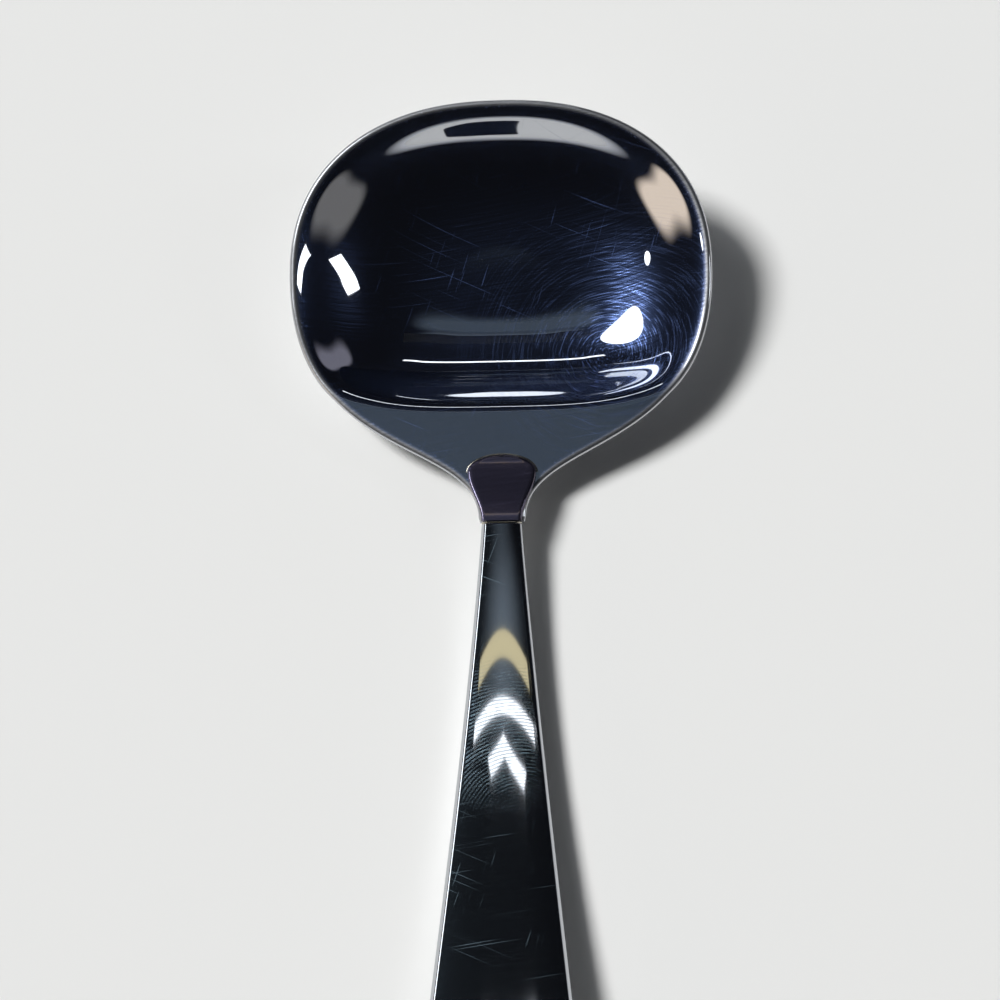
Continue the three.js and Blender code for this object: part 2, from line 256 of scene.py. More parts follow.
def outline_radius(angle, half_width, tip, heel):
    heel_share = smooth(-np.sin(angle), 0.0, HEEL_FADE)
    power = mix(RIM_POWER, HEEL_POWER, heel_share)
    reach = mix(tip, heel, heel_share)
    total = (np.abs(np.cos(angle)) / half_width) ** power + (np.abs(np.sin(angle)) / reach) ** power
    return total ** (-1 / power)


def apron_height(y):
    beyond = np.maximum(0.0, -y - APRON_START) / (NECK_REACH - APRON_START)
    return NECK_RISE * beyond ** 2


def rounded_share(share):
    step = np.clip((share + LIP_ROUND) / (2 * LIP_ROUND), 0.0, 1.0)
    return np.maximum(share, LIP_ROUND) - LIP_ROUND + 2 * LIP_ROUND * (step ** 3 - step ** 4 / 2)


def bowl_height(x, y):
    wall = outline_radius(np.arctan2(y, x), BOWL_HALF_WIDTH - LIP, TIP_REACH - LIP, HEEL_REACH)
    way = np.maximum(0.0, np.hypot(x, y) / wall - FLOOR_SHARE) / (1 - FLOOR_SHARE)
    land = apron_height(y)
    climbed = mix(way ** WALL_POWER, way ** 2, DISH_SHARE)
    return land - (BOWL_DEPTH + land) * rounded_share(1 - climbed)


def bowl_normal(x, y):
    span = 2 * SLOPE_PROBE
    slope_x = (bowl_height(x + SLOPE_PROBE, y) - bowl_height(x - SLOPE_PROBE, y)) / span
    slope_y = (bowl_height(x, y + SLOPE_PROBE) - bowl_height(x, y - SLOPE_PROBE)) / span
    normal = np.stack([-slope_x, -slope_y, np.ones_like(slope_x)], -1)
    return normal / np.linalg.norm(normal, axis=-1, keepdims=True)


print("bowl: centre at", round(float(bowl_height(0.0, 0.0)), 2), "mm, rim side at",
      round(float(bowl_height(BOWL_HALF_WIDTH, 0.0)), 2), "mm")

# %% [markdown]
# ## The bowl's outline
# From above, the rim is a rounded oval that runs on into two S-shaped sides down to the neck. Half of it is
# drawn, as the neck's straight end, one Bezier side and one oval quarter, and the other half is its mirror.

# %% Draw the bowl's outline
TAIL_GAP = 0.55
TAIL_STEPS, SIDE_STEPS, RIM_STEPS = 6, 130, 84

tail_y = on_apron(TAIL_GAP + EDGE_BULGE, 0.0, 0.0)[1]
tail = np.stack([np.linspace(0.0, NECK_HALF_WIDTH, TAIL_STEPS, endpoint=False),
                 np.full(TAIL_STEPS, tail_y)], -1)
side_controls = [(NECK_HALF_WIDTH, tail_y), (NECK_HALF_WIDTH, tail_y + NECK_PULL),
                 (BOWL_HALF_WIDTH, -SHOULDER_PULL), (BOWL_HALF_WIDTH, 0.0)]
flank = Profile(side_controls)
spots = np.linspace(0.0, flank.length, SIDE_STEPS)
side = np.stack([np.interp(spots, flank.reach, flank.path[:, k]) for k in range(2)], -1)
angles = np.linspace(0.0, math.pi / 2, RIM_STEPS)[1:]
radii = outline_radius(angles, BOWL_HALF_WIDTH, TIP_REACH, HEEL_REACH)
rim = np.stack([radii * np.cos(angles), radii * np.sin(angles)], -1)
right_half = np.concatenate([tail, side, rim])
left_half = right_half[1:-1][::-1] * np.array([-1.0, 1.0])
bowl_outline = np.concatenate([right_half, left_half])
print("bowl outline:", len(bowl_outline), "points, tail at y", round(float(tail_y), 2))

# %% [markdown]
# ## The bowl's rings
# Rings of the same outline, from a tiny one in the middle to the full size, carry the height rule over the
# front. Then they go round the rim as a half round edge, and back along the underside one sheet thickness
# below.

# %% Lay out the bowl's rings
FRONT_RINGS, LIP_RINGS, EDGE_RINGS, BACK_RINGS = 92, 8, 9, 44
FIRST_RING, LIP_ZONE = 0.02, 0.96


def bowl_rings(shares):
    spots = bowl_outline[None] * np.asarray(shares)[:, None, None]
    x, y = spots[..., 0], spots[..., 1]
    return np.stack([x, y, bowl_height(x, y)], -1), bowl_normal(x, y)


front_shares = np.concatenate([
    np.linspace(FIRST_RING, LIP_ZONE, FRONT_RINGS, endpoint=False), np.linspace(LIP_ZONE, 1.0, LIP_RINGS),
])
front, front_normal = bowl_rings(front_shares)
rim_front, rim_normal = front[-1], front_normal[-1]
run = np.roll(rim_front, -1, axis=0) - np.roll(rim_front, 1, axis=0)
rim_out = np.cross(run, rim_normal)
rim_out /= np.linalg.norm(rim_out, axis=-1, keepdims=True)
turns = np.linspace(0.0, math.pi, EDGE_RINGS + 2)[1:-1, None, None]
rim_middle = rim_front - rim_normal * (SHEET / 2)
edge = rim_middle + rim_normal * (SHEET / 2) * np.cos(turns) + rim_out * EDGE_BULGE * np.sin(turns)
back, back_normal = bowl_rings(np.linspace(1.0, FIRST_RING, BACK_RINGS))
back = back - SHEET * back_normal
rings = np.concatenate([front, edge, back])
count = len(bowl_outline)
print("bowl:", len(rings), "rings of", count, "points")

# %% [markdown]
# ## The bowl's sheet
# Quads join the rings, and a fan of triangles closes the middle on each side. The rings near the rim also
# carry how worn they are, for the finish.

# %% Make the bowl
WEAR_FROM = 0.95
centre_front, centre_back = [0.0, 0.0, -BOWL_DEPTH], [0.0, 0.0, -BOWL_DEPTH - SHEET]
bowl_points = np.concatenate([rings.reshape(-1, 3), [centre_front, centre_back]])
middle_front, middle_back = len(bowl_points) - 2, len(bowl_points) - 1
last_ring = (len(rings) - 1) * count
bowl_faces = row_faces(len(rings), count).tolist()
for i in range(count):
    follow = (i + 1) % count
    bowl_faces.append([middle_front, i, follow])
    bowl_faces.append([middle_back, last_ring + follow, last_ring + i])
bowl = make_piece("bowl_pressing", bowl_points, bowl_faces)
ring_wear = np.concatenate([
    smooth(front_shares, WEAR_FROM, 1.0), np.ones(EDGE_RINGS), np.zeros(BACK_RINGS),
])
wear = bowl.data.attributes.new("rim_wear", "FLOAT", "POINT")
wear.data.foreach_set("value", np.concatenate([np.repeat(ring_wear, count), [0.0, 0.0]]))

# %% [markdown]
# ## Plates that follow a profile
# The tongue and the two halves of the handle are long plates with a rounded end. Their edge is drawn in
# plan, as a half width for each place along the profile. Points further in are set off at right angles from
# that edge, so a bevel keeps its width round the end, where a plain cross-section would lose it.

# %% Offset a plate's edge
ROUND_POINTS, LONGEST_ROUND = 5, 0.5


def edge_run(along, half_width):
    """The direction of the plate's edge at each place."""
    run = np.gradient(np.stack([along, half_width], -1), axis=0, edge_order=2)
    return run / np.linalg.norm(run, axis=-1, keepdims=True)


def inset_edge(along, half_width, inset):
    """The plate's edge moved inwards, as places along and half widths."""
    run = edge_run(along, half_width)
    return along + inset * run[:, 1], np.maximum(half_width - inset * run[:, 0], 0.0)


def rounded_corners(corners, reach):
    """A polyline whose inner corners are rounded off."""
    corners = [np.asarray(c, float) for c in corners]
    line = [corners[0]]
    for before, corner, after in zip(corners, corners[1:], corners[2:]):
        start = corner + (before - corner) * min(LONGEST_ROUND, reach / np.linalg.norm(before - corner))
        end = corner + (after - corner) * min(LONGEST_ROUND, reach / np.linalg.norm(after - corner))
        t = np.linspace(0.0, 1.0, ROUND_POINTS)[:, None]
        line.extend((1 - t) ** 2 * start + 2 * t * (1 - t) * corner + t ** 2 * end)
    line.append(corners[-1])
    return np.array(line)


print("each corner is rounded off by", ROUND_POINTS, "points")

# %% [markdown]
# ## The tongue
# A forged tongue lies on the apron. It is round at its tip, narrows to the neck's width and thickens
# towards the neck. It could be cut from a block, but two rules, for its width and its height, let it follow
# the apron.

# %% Describe the tongue
TOP_COLUMNS, SHANK_STOP = 18, 0.5


def tongue_half_width(before_mouth):
    from_tip = TONGUE_LENGTH - before_mouth
    tip = np.sqrt(np.clip(1 - (1 - np.minimum(1.0, from_tip / TONGUE_TIP_ROUND)) ** 2, 0.0, 1.0))
    waist = smooth(from_tip, TONGUE_TIP_ROUND, TONGUE_LENGTH - NECK_LENGTH)
    return tip * mix(TONGUE_HALF_WIDTH, NECK_HALF_WIDTH, waist)


def tongue_height(before_mouth):
    share = (TONGUE_LENGTH - before_mouth) / (TONGUE_LENGTH - SHANK_STOP)
    return HAIRLINE + mix(TONGUE_EDGE, SHANK_THICKNESS + JOINT_GAP - HAIRLINE, smooth(share, 0.0, 1.0))


def plate_section(edges, heights):
    """One section: up the right side through the given insets, across the top, down the left side."""
    right = [(a, w, h) for (a, w), h in zip(edges, heights)]
    a, w, h = right[-1]
    across = np.linspace(1.0, -1.0, TOP_COLUMNS + 1)[1:-1]
    return right + [(a, w * c, h) for c in across] + [(a, -w, h) for a, w, h in reversed(right)]


print("tongue: height", round(float(tongue_height(TONGUE_LENGTH)), 2), "mm at the tip,",
      round(float(tongue_height(SHANK_STOP)), 2), "mm at the neck")

# %% [markdown]
# ## The shank
# Past the neck the shank goes on as a tang inside the hollow handle, which nobody sees, but the real one
# has it and so does this one. Tongue and tang are rows of the same section, joined at a small shoulder.

# %% Make the shank
TONGUE_ROWS, TIP_ROWS, TANG_ROWS = 70, 40, 24
SHANK_ROUND, SHOULDER = 0.35, 0.15
tip_turn = np.linspace(0.0, math.pi / 2, TIP_ROWS)[1:]
tip_places = TONGUE_LENGTH - TONGUE_TIP_ROUND * (1 - np.cos(tip_turn))
straight_places = np.linspace(TONGUE_LENGTH - TONGUE_TIP_ROUND, SHANK_STOP, TONGUE_ROWS)[1:]
places = np.concatenate([tip_places, straight_places])
widths = tongue_half_width(places)
turn_steps = np.linspace(0.0, math.pi / 2, ROUND_POINTS)
insets = np.concatenate([[0.0], SHANK_ROUND * (1 - np.cos(turn_steps))])
drops = SHANK_ROUND * (1 - np.sin(turn_steps))
edges = [inset_edge(-places, widths, inset) for inset in insets]
rows = []
for i in range(len(places)):
    section_edges = [(-along[i], half[i]) for along, half in edges]
    heights = [HAIRLINE, *(tongue_height(places[i]) - drops)]
    rows.append([on_apron(*spot) for spot in plate_section(section_edges, heights)])
columns = len(rows[0])
side_count = len(insets)
tang_half_width = NECK_HALF_WIDTH - HANDLE_WALL - TANG_CLEARANCE
tang_half_thickness = MOUTH_THICKNESS / 2 - HANDLE_WALL - TANG_CLEARANCE
for i in range(-1, TANG_ROWS + 1):
    share = max(0, i) / TANG_ROWS
    along = -SHANK_STOP + SHOULDER if i < 0 else TANG_LENGTH * share
    size = mix(1.0, TANG_TIP_SHARE, share)
    half_width, half_thickness = tang_half_width * size, tang_half_thickness * size
    heights = np.linspace(-half_thickness, half_thickness, side_count)
    section = plate_section([(along, half_width)] * side_count, heights)
    rows.append([handle.at(*spot) for spot in section])
shank_points = np.array(rows).reshape(-1, 3)
shank_faces = row_faces(len(rows), columns)[:, ::-1].tolist()
shank_faces.append(list(range(columns)))
shank_faces.append(list(range(len(shank_points) - columns, len(shank_points)))[::-1])
shank = make_piece("shank_forging", shank_points, shank_faces)

# %% [markdown]
# ## The finishes
# The ladle is mirror-polished stainless steel, so nearly all that the eye sees on it is reflection. Years
# of use leave fine scratches in it. They give a second, hazy reflection round every bright lamp, cold blue
# in the photograph, with streaks along the scratches; that cold blue is painted into the haze's colour.
# Colours are sRGB hex codes, turned linear in one place, and one function adds every node.

# %% Start a finish
def from_hex(code):
    """An sRGB hex colour as linear RGBA."""
    parts = [int(code[i:i + 2], 16) / 255 for i in (1, 3, 5)]
    linear = [p / 12.92 if p <= 0.04045 else ((p + 0.055) / 1.055) ** 2.4 for p in parts]
    return (*linear, 1.0)


def add_node(tree, kind, settings=None, links=None, stops=()):
    """Adds a node with its properties, sockets and colour stops; (node, output) in a socket is a link."""
    made = tree.nodes.new(kind)
    for key, value in (settings or {}).items():
        setattr(made, key, value)
    for key, value in (links or {}).items():
        if isinstance(value, tuple) and isinstance(value[0], bpy.types.Node):
            tree.links.new(value[0].outputs[value[1]], made.inputs[key])
        else:
            made.inputs[key].default_value = value
    for i, (position, code) in enumerate(stops):
        made.color_ramp.elements[i].position = position
        made.color_ramp.elements[i].color = from_hex(code)
    return made


def new_finish(name, settings):
    material = bpy.data.materials.new(name)
    material.use_nodes = True
    for key, value in settings.items():
        material.node_tree.nodes["Principled BSDF"].inputs[key].default_value = value
    return material


def dress(piece, finish):
    piece.data.materials.clear()
    piece.data.materials.append(finish)


print("mid grey #808080 is", round(from_hex("#808080")[0], 4), "in linear light")

# %% [markdown]
# ## Scratches and swirls
# A scratch set is noise that is stretched along one direction, in millimetres on the part, with only its
# peaks kept. Real ones are a few hundredths of a millimetre wide, which the picture can't hold, so they are
# drawn about four times coarser. Patches of larger noise leave some places almost clean. The basin also has
# arcs of the same noise, stretched along circles round the place where the key light's reflection falls: a
# painted glint, the halo that scratches show round a lamp's reflection, fixed onto the steel.

# %% Draw scratches and swirls
SCRATCH_SETS = ((9.0, 16.0, 0.20), (71.0, 7.0, 0.22), (-24.0, 20.0, 0.22))
SCRATCH_PEAK, SCRATCH_WANDER = {"From Min": 0.70, "From Max": 0.77}, 0.3
PATCH_SCALE, PATCH_PEAK = 0.11, {"From Min": 0.38, "From Max": 0.62}
# The swirls are a painted glint: arcs centred where the key light's reflection falls on the basin.
GLINT_CENTRE, SWIRL_RADIUS, SWIRL_LENGTH, SWIRL_SPACING = (16.4, 45.8, 0.0), 12.0, 5.0, 0.24
SWIRL_PEAK, SWIRL_SHARE = {"From Min": 0.52, "From Max": 0.70}, 0.3
SWIRL_REACH = {"From Min": 26.0, "From Max": 6.0}
TIMES = {"operation": "MULTIPLY", "use_clamp": True}
LARGER = {"operation": "MAXIMUM", "use_clamp": True}


def in_millimetres(tree):
    place = add_node(tree, "ShaderNodeTexCoord")
    return add_node(tree, "ShaderNodeVectorMath", {"operation": "SCALE"},
                    {"Vector": (place, "Object"), "Scale": 1 / MM})


def stretched_noise(tree, place, turn, length, spacing):
    turned = add_node(tree, "ShaderNodeMapping", {"vector_type": "TEXTURE"},
                      {"Vector": (place, "Vector"), "Rotation": (0.0, 0.0, math.radians(turn)),
                       "Scale": (length, spacing, length)})
    return add_node(tree, "ShaderNodeTexNoise", None,
                    {"Vector": (turned, "Vector"), "Scale": 1.0, "Detail": 1.0,
                     "Distortion": SCRATCH_WANDER})


def strongest(tree, marks):
    """The strongest of several marks at each point."""
    found = marks[0]
    for mark in marks[1:]:
        found = add_node(tree, "ShaderNodeMath", LARGER, {0: (found, 0), 1: (mark, 0)})
    return found


def scratches(tree, place):
    """All scratch sets together, thinned out by patches."""
    noise = add_node(tree, "ShaderNodeTexNoise", None, {"Vector": (place, "Vector"), "Scale": PATCH_SCALE})
    patches = add_node(tree, "ShaderNodeMapRange", None, {"Value": (noise, 0), **PATCH_PEAK})
    sets = []
    for turn, length, spacing in SCRATCH_SETS:
        noise = stretched_noise(tree, place, turn, length, spacing)
        sets.append(add_node(tree, "ShaderNodeMapRange", None, {"Value": (noise, 0), **SCRATCH_PEAK}))
    return add_node(tree, "ShaderNodeMath", TIMES, {0: (strongest(tree, sets), 0), 1: (patches, 0)})


def swirls(tree, place):
    """Painted glint: arcs round the place on the basin where the key light's reflection falls."""
    offset = add_node(tree, "ShaderNodeVectorMath", {"operation": "SUBTRACT"},
                      {0: (place, "Vector"), 1: GLINT_CENTRE})
    parts = add_node(tree, "ShaderNodeSeparateXYZ", None, {0: (offset, "Vector")})
    angle = add_node(tree, "ShaderNodeMath", {"operation": "ARCTAN2"}, {0: (parts, "Y"), 1: (parts, "X")})
    level = add_node(tree, "ShaderNodeCombineXYZ", None, {"X": (parts, "X"), "Y": (parts, "Y")})
    radius = add_node(tree, "ShaderNodeVectorMath", {"operation": "LENGTH"}, {0: (level, "Vector")})
    along = add_node(tree, "ShaderNodeMath", {"operation": "MULTIPLY"},
                     {0: (angle, "Value"), 1: SWIRL_RADIUS / SWIRL_LENGTH})
    across = add_node(tree, "ShaderNodeMath", {"operation": "DIVIDE"},
                      {0: (radius, "Value"), 1: SWIRL_SPACING})
    unrolled = add_node(tree, "ShaderNodeCombineXYZ", None, {"X": (along, "Value"), "Y": (across, "Value")})
    noise = add_node(tree, "ShaderNodeTexNoise", None,
                     {"Vector": (unrolled, "Vector"), "Scale": 1.0, "Detail": 1.0})
    arcs = add_node(tree, "ShaderNodeMapRange", None,
                    {"Value": (noise, 0), **SWIRL_PEAK, "To Max": SWIRL_SHARE})
    # Painted glint: the arcs fade out away from the key light's reflection.
    near_glint = add_node(tree, "ShaderNodeMapRange", None, {"Value": (radius, "Value"), **SWIRL_REACH})
    return add_node(tree, "ShaderNodeMath", TIMES, {0: (near_glint, 0), 1: (arcs, 0)})


print("scratches:", len(SCRATCH_SETS), "sets,", SCRATCH_SETS[0][2], "mm wide; swirls round",
      GLINT_CENTRE[:2], "mm")

# %% [markdown]
# ## A thumbprint
# Polished handles show where they were held. The photograph has a print below the handle's mouth: close
# ridges, half a millimetre apart, that only show where a lamp is reflected. It lies where a thumb presses
# when the ladle is lifted. The ridges are rings whose centre lies well outside the print, so that they come
# out as arcs. The ring texture turns by 20 radians for each unit, so its scale follows from the spacing.
# Only the handle's crowned face takes the print, and an attribute on the mesh says which points are on that
# face.

# %% Press the print on the handle
PRINT_ALONG, PRINT_ACROSS, PRINT_OUT, PRINT_SHARE = 32.0, 0.4, 2.4, 0.62
PRINT_REACH = {"From Min": 12.0, "From Max": 4.0}
RIDGE_SPACING, RIDGE_CENTRE, RING_RATE = 0.5, (2.0, -13.0, 0.0), 20.0
RIDGE_WANDER, RIDGE_DETAIL, RIDGE_PEAK = 2.2, 0.6, {"From Min": 0.35, "From Max": 0.75}
GREASE_SCALE, GREASE_PEAK = 0.35, {"From Min": 0.28, "From Max": 0.5}
print_spot = on_table(handle.at(PRINT_ALONG, PRINT_ACROSS, PRINT_OUT))[0] / MM


def thumbprint(tree, place):
    """Ridges of grease on the crowned face, fading out round the place where the thumb lay."""
    offset = add_node(tree, "ShaderNodeVectorMath", {"operation": "SUBTRACT"},
                      {0: (place, "Vector"), 1: tuple(print_spot)})
    centre = add_node(tree, "ShaderNodeVectorMath", {"operation": "SUBTRACT"},
                      {0: (offset, "Vector"), 1: RIDGE_CENTRE})
    ridges = add_node(tree, "ShaderNodeTexWave", {"wave_type": "RINGS", "rings_direction": "SPHERICAL"},
                      {"Vector": (centre, "Vector"), "Scale": 2 * math.pi / (RING_RATE * RIDGE_SPACING),
                       "Distortion": RIDGE_WANDER, "Detail": 1.0, "Detail Scale": RIDGE_DETAIL})
    distance = add_node(tree, "ShaderNodeVectorMath", {"operation": "LENGTH"}, {0: (offset, "Vector")})
    inside = add_node(tree, "ShaderNodeMapRange", None, {"Value": (distance, "Value"), **PRINT_REACH})
    noise = add_node(tree, "ShaderNodeTexNoise", None, {"Vector": (place, "Vector"), "Scale": GREASE_SCALE})
    grease = add_node(tree, "ShaderNodeMapRange", None, {"Value": (noise, 0), **GREASE_PEAK})
    skin = add_node(tree, "ShaderNodeMath", TIMES, {0: (inside, 0), 1: (grease, 0)})
    lines = add_node(tree, "ShaderNodeMapRange", None,
                     {"Value": (ridges, "Fac"), **RIDGE_PEAK, "To Max": PRINT_SHARE})
    face = add_node(tree, "ShaderNodeAttribute", {"attribute_name": "held_face"})
    touched = add_node(tree, "ShaderNodeMath", TIMES, {0: (face, "Fac"), 1: (skin, 0)})
    return add_node(tree, "ShaderNodeMath", TIMES, {0: (touched, 0), 1: (lines, 0)})


print("thumbprint at", print_spot.round(2).tolist(), "mm")

# %% [markdown]
# ## The steels
# Each steel mixes a clear mirror with a hazy one. The haze takes a small even share, and more where there
# are scratches, swirls (a painted glint) or a print, or where the rim is worn to a satin edge with small
# pits.
# The handle is a little less hazy than the bowl. The shank's steel is darker and purple, in blotches: a
# painted reflection, the dark purple that the tongue reflects, put into the steel's colour.

# %% Mix the steels
SCRATCH_ROUGHNESS, SCRATCH_SHARE = 0.5, 0.13
RIM_COLOUR, RIM_SHARE, RIM_FALL = "#c4c6ca", 0.28, 6.0
PIT_SCALE, PIT_PEAK, PIT_SHARE = 2.2, {"From Min": 0.6, "From Max": 0.68}, 0.4
BUFF_TURN, BUFF_LENGTH, BUFF_SPACING, BUFF_STRENGTH, BUFF_DEPTH = 8.0, 7.0, 0.4, 0.35, 0.00012
# The shank's dark purple tones are a painted reflection.
TINT_SCALE, TINT_DETAIL, TINT_STOPS = 0.5, 3.0, ((0.38, "#6c687c"), (0.66, "#776e74"))
PLUS = {"operation": "ADD", "use_clamp": True}


def polished(name, colour, roughness, haze_colour, haze_roughness, haze_share, more_marks=None):
    """A mirror with a hazy second reflection, which is stronger where the steel is marked."""
    material = new_finish(name, {"Base Color": from_hex(colour), "Metallic": 1.0, "Roughness": roughness})
    tree = material.node_tree
    place = in_millimetres(tree)
    marks = scratches(tree, place)
    near_rim = add_node(tree, "ShaderNodeAttribute", {"attribute_name": "rim_wear"})
    lip = add_node(tree, "ShaderNodeMath", {"operation": "POWER"}, {0: (near_rim, "Fac"), 1: RIM_FALL})
    torn = add_node(tree, "ShaderNodeMapRange", None,
                    {"Value": (strongest(tree, [marks, lip]), 0),
                     "To Min": haze_roughness, "To Max": SCRATCH_ROUGHNESS})
    tone = add_node(tree, "ShaderNodeValToRGB", None, {"Fac": (lip, 0)},
                    ((0.0, haze_colour), (1.0, RIM_COLOUR)))
    buffing = stretched_noise(tree, place, BUFF_TURN, BUFF_LENGTH, BUFF_SPACING)
    streaks = add_node(tree, "ShaderNodeBump", None,
                       {"Height": (buffing, 0), "Strength": BUFF_STRENGTH, "Distance": BUFF_DEPTH})
    haze = add_node(tree, "ShaderNodeBsdfPrincipled", None,
                    {"Base Color": (tone, "Color"), "Metallic": 1.0, "Roughness": (torn, 0),
                     "Normal": (streaks, "Normal")})
    specks = add_node(tree, "ShaderNodeTexNoise", None, {"Vector": (place, "Vector"), "Scale": PIT_SCALE})
    peaks = add_node(tree, "ShaderNodeMapRange", None,
                     {"Value": (specks, 0), **PIT_PEAK, "To Max": PIT_SHARE})
    pits = add_node(tree, "ShaderNodeMath", TIMES, {0: (near_rim, "Fac"), 1: (peaks, 0)})
    scratched = add_node(tree, "ShaderNodeMath", TIMES, {0: (marks, 0), 1: SCRATCH_SHARE})
    satin = add_node(tree, "ShaderNodeMath", TIMES, {0: (lip, 0), 1: RIM_SHARE})
    worn = [scratched, pits, satin]
    if more_marks:
        worn.append(more_marks(tree, place))
    share = add_node(tree, "ShaderNodeMath", PLUS, {0: (strongest(tree, worn), 0), 1: haze_share})
    both = add_node(tree, "ShaderNodeMixShader", None,
                    {0: (share, 0), 1: (tree.nodes["Principled BSDF"], "BSDF"), 2: (haze, "BSDF")})
    tree.links.new(both.outputs["Shader"], tree.nodes["Material Output"].inputs["Surface"])
    return material


# The blue and blue-grey haze colours are a painted tint of the hazy reflection.
bowl_steel = polished("mirror_polished_stainless_steel", "#c6c8cc", roughness=0.03, haze_colour="#84a0e6",
                      haze_roughness=0.3, haze_share=0.04, more_marks=swirls)
handle_steel = polished("mirror_polished_stainless_pressing", "#c6c8cc", roughness=0.03,
                        haze_colour="#a6c0d0", haze_roughness=0.2, haze_share=0.02, more_marks=thumbprint)
# The shank's darker, purple steel and its lilac haze are a painted reflection.
tinted_steel = polished("purple_painted_reflection_steel", "#8d8590", roughness=0.09,
                        haze_colour="#8a86a8", haze_roughness=0.4, haze_share=0.08)
tinted_tree = tinted_steel.node_tree
blotches = add_node(tinted_tree, "ShaderNodeTexNoise", None,
                    {"Vector": (in_millimetres(tinted_tree), "Vector"), "Scale": TINT_SCALE,
                     "Detail": TINT_DETAIL})
tint = add_node(tinted_tree, "ShaderNodeValToRGB", None, {"Fac": (blotches, 0)}, TINT_STOPS)
tinted_tree.links.new(tint.outputs["Color"], tinted_tree.nodes["Principled BSDF"].inputs["Base Color"])
print("steels:", bowl_steel.name, handle_steel.name, tinted_steel.name)

# %% [markdown]
# ## Braze and cement
# Silver braze polishes to a slightly warmer, softer shine than the steel, with straw-coloured blotches
# where flux has stained it. The cement inside the handle is a matt resin with grains of filler, about half
# a millimetre across. No view shows it.

# %% Mix the braze and the cement
FLUX_BLOTCH, FILLER_GRAIN, GRAIN_DEPTH = 0.8, 0.5, 0.00005
BLOTCH_FROM, BLOTCH_TO = 0.38, 0.66


def blotched(name, metallic, size, first_tone, last_tone, smoothest, roughest, depth=None):
    """A finish in two tones, in blotches of a size in millimetres, which can also stand out by a depth."""
    material = new_finish(name, {"Base Color": from_hex(first_tone), "Metallic": metallic})
    tree = material.node_tree
    shader = tree.nodes["Principled BSDF"]
    spots = add_node(tree, "ShaderNodeTexNoise", None,
                     {"Vector": (in_millimetres(tree), "Vector"), "Scale": 1 / size, "Detail": 2.0})
    tone = add_node(tree, "ShaderNodeValToRGB", None, {"Fac": (spots, 0)},
                    ((BLOTCH_FROM, first_tone), (BLOTCH_TO, last_tone)))
    rough = add_node(tree, "ShaderNodeMapRange", None,
                     {"Value": (spots, 0), "From Min": BLOTCH_FROM, "From Max": BLOTCH_TO,
                      "To Min": smoothest, "To Max": roughest})
    tree.links.new(tone.outputs["Color"], shader.inputs["Base Color"])
    tree.links.new(rough.outputs[0], shader.inputs["Roughness"])
    if depth:
        grit = add_node(tree, "ShaderNodeBump", None, {"Height": (spots, 0), "Distance": depth})
        tree.links.new(grit.outputs["Normal"], shader.inputs["Normal"])
    return material


silver_braze = blotched("polished_silver_braze", 1.0, FLUX_BLOTCH, "#d8d4c8", "#cfc7b4",
                        smoothest=0.1, roughest=0.18)
resin_cement = blotched("resin_cement", 0.0, FILLER_GRAIN, "#8c8578", "#a29a8a",
                        smoothest=0.85, roughest=0.95, depth=GRAIN_DEPTH)
print("finishes:", silver_braze.name, resin_cement.name)

# %% [markdown]
# ## The sweep
# Silver braze shows in two places: a fine fillet round the tongue and a thin collar at the handle's mouth.
# Both are a small circle that follows a path, so one Geometry Nodes tree sweeps both, with the wire's
# radius as a named input. The result is kept as a plain mesh, since the path is only a means to make it.

# %% Build the sweep tree
WIRE_SIDES = 12


def sweep_tree(material):
    tree = bpy.data.node_groups.new("braze_sweep", "GeometryNodeTree")
    tree.interface.new_socket("Path", in_out="INPUT", socket_type="NodeSocketGeometry")
    tree.interface.new_socket("Wire Radius", in_out="INPUT", socket_type="NodeSocketFloat")
    tree.interface.new_socket("Braze", in_out="OUTPUT", socket_type="NodeSocketGeometry")
    given = add_node(tree, "NodeGroupInput")
    wire = add_node(tree, "GeometryNodeCurvePrimitiveCircle", None,
                    {"Resolution": WIRE_SIDES, "Radius": (given, "Wire Radius")})
    swept = add_node(tree, "GeometryNodeCurveToMesh", None,
                     {"Curve": (given, "Path"), "Profile Curve": (wire, "Curve"), "Fill Caps": True})
    smoothed = add_node(tree, "GeometryNodeSetShadeSmooth", None, {"Geometry": (swept, "Mesh")})
    real = add_node(tree, "GeometryNodeRealizeInstances", None, {"Geometry": (smoothed, "Geometry")})
    dressed = add_node(tree, "GeometryNodeSetMaterial", None,
                       {"Geometry": (real, "Geometry"), "Material": material})
    add_node(tree, "NodeGroupOutput", None, {"Braze": (dressed, "Geometry")})
    return tree


braze_tree = sweep_tree(silver_braze)
sockets = {item.name: item.identifier for item in braze_tree.interface.items_tree}
print("sweep:", ", ".join(sockets))

# %% [markdown]
# ## Along a path
# Each path is a curve of straight steps. The tree runs on it as a modifier, and the mesh that comes out is
# copied into a piece of its own.

# %% Sweep a path
def sweep_piece(name, path, cyclic, wire_radius):
    curve = bpy.data.curves.new(name + "_path", "CURVE")
    curve.dimensions = "3D"
    spline = curve.splines.new("POLY")
    spline.points.add(len(path) - 1)
    spline.points.foreach_set("co", np.c_[on_table(path), np.ones(len(path))].ravel())
    spline.use_cyclic_u = cyclic
    holder = add_object(name + "_path", curve)
    modifier = holder.modifiers.new("sweep", "NODES")
    modifier.node_group = braze_tree
    modifier[sockets["Wire Radius"]] = wire_radius * MM
    bpy.context.view_layer.update()
    evaluated = holder.evaluated_get(bpy.context.evaluated_depsgraph_get())
    mesh = bpy.data.meshes.new_from_object(evaluated)
    mesh.name = name
    bpy.data.objects.remove(holder)
    print(name, len(mesh.vertices), "points,", len(mesh.polygons), "faces")
    return add_object(name, mesh)


# %% [markdown]
# ## The fillet round the tongue
# The braze that shows in front is a hair-fine line round the tongue's tip. It could be a texture, but a
# real wire, half sunk between tongue and apron, catches the light on its own round side, as the photograph
# shows.

